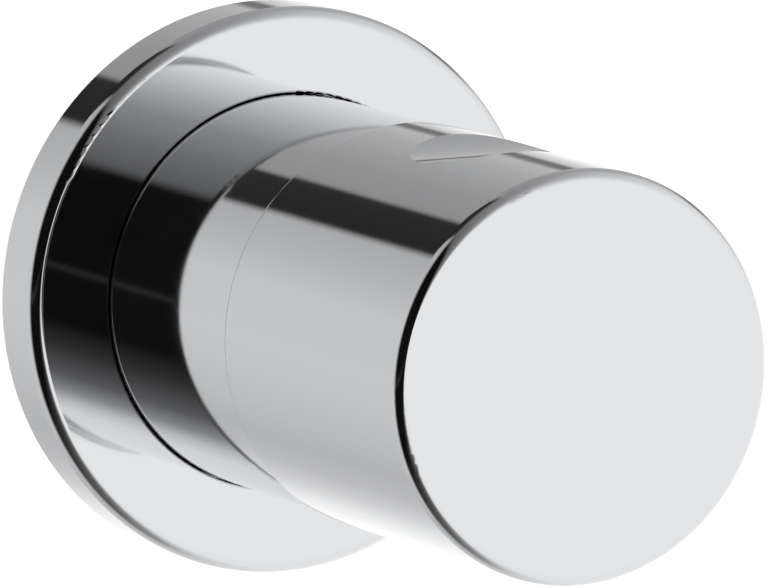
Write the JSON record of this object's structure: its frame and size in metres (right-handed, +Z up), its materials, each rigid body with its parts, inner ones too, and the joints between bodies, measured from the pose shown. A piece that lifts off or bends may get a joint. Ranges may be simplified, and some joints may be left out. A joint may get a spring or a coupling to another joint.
{
  "type": "concealed stop valve",
  "caption": "Concealed quarter-turn stop valve: brass body in the wall, round chrome wall plate, trim sleeve and cylindrical handle with a finger dimple.",
  "frame": {"origin": "on the valve's axis at the finished wall, where the axis passes through the hole in the wall", "axes": "+Z up, -Y out of the wall along the handle's axis, +Y into the wall, X along the pipe line"},
  "size_m": [0.07, 0.154, 0.07],
  "materials": {
    "chrome": "polished chrome plating",
    "body_brass": "cast, shot-blasted",
    "turned_brass": "turned",
    "ceramic": "lapped ceramic",
    "steel": "plain stainless",
    "seal_rubber": "matte",
    "foam": "closed-cell foam",
    "glide_plastic": "matte",
    "tube_plastic": "moulded, satin",
    "adapter_plastic": "moulded, satin"
  },
  "bodies": {
    "valve": {"valve_body": "body_brass", "headwork_housing": "turned_brass", "headwork_seal": "seal_rubber", "fixed_disc": "ceramic", "seat_gasket": "seal_rubber", "glide_washer": "glide_plastic", "carrier_tube": "tube_plastic", "tube_seal": "seal_rubber", "sleeve_o_rings": "seal_rubber", "trim_sleeve": "chrome", "wall_plate": "chrome", "plate_o_ring": "seal_rubber", "wall_gasket": "foam"},
    "handle_set": {"handle": "chrome", "handle_adapter": "adapter_plastic", "spindle_screw": "steel", "grub_screw": "steel", "screw_cap": "chrome", "extension_spindle": "turned_brass", "spindle": "turned_brass", "spindle_o_rings": "seal_rubber", "stop_ring": "steel", "retaining_ring": "steel", "turning_disc": "ceramic"}
  },
  "joints": [
    {"name": "handle_turn", "type": "hinge", "parent": "valve", "child": "handle_set", "pos_m": [0, 0, 0], "axis": [0, -1, 0], "range_deg": [0, 90]}
  ]
}
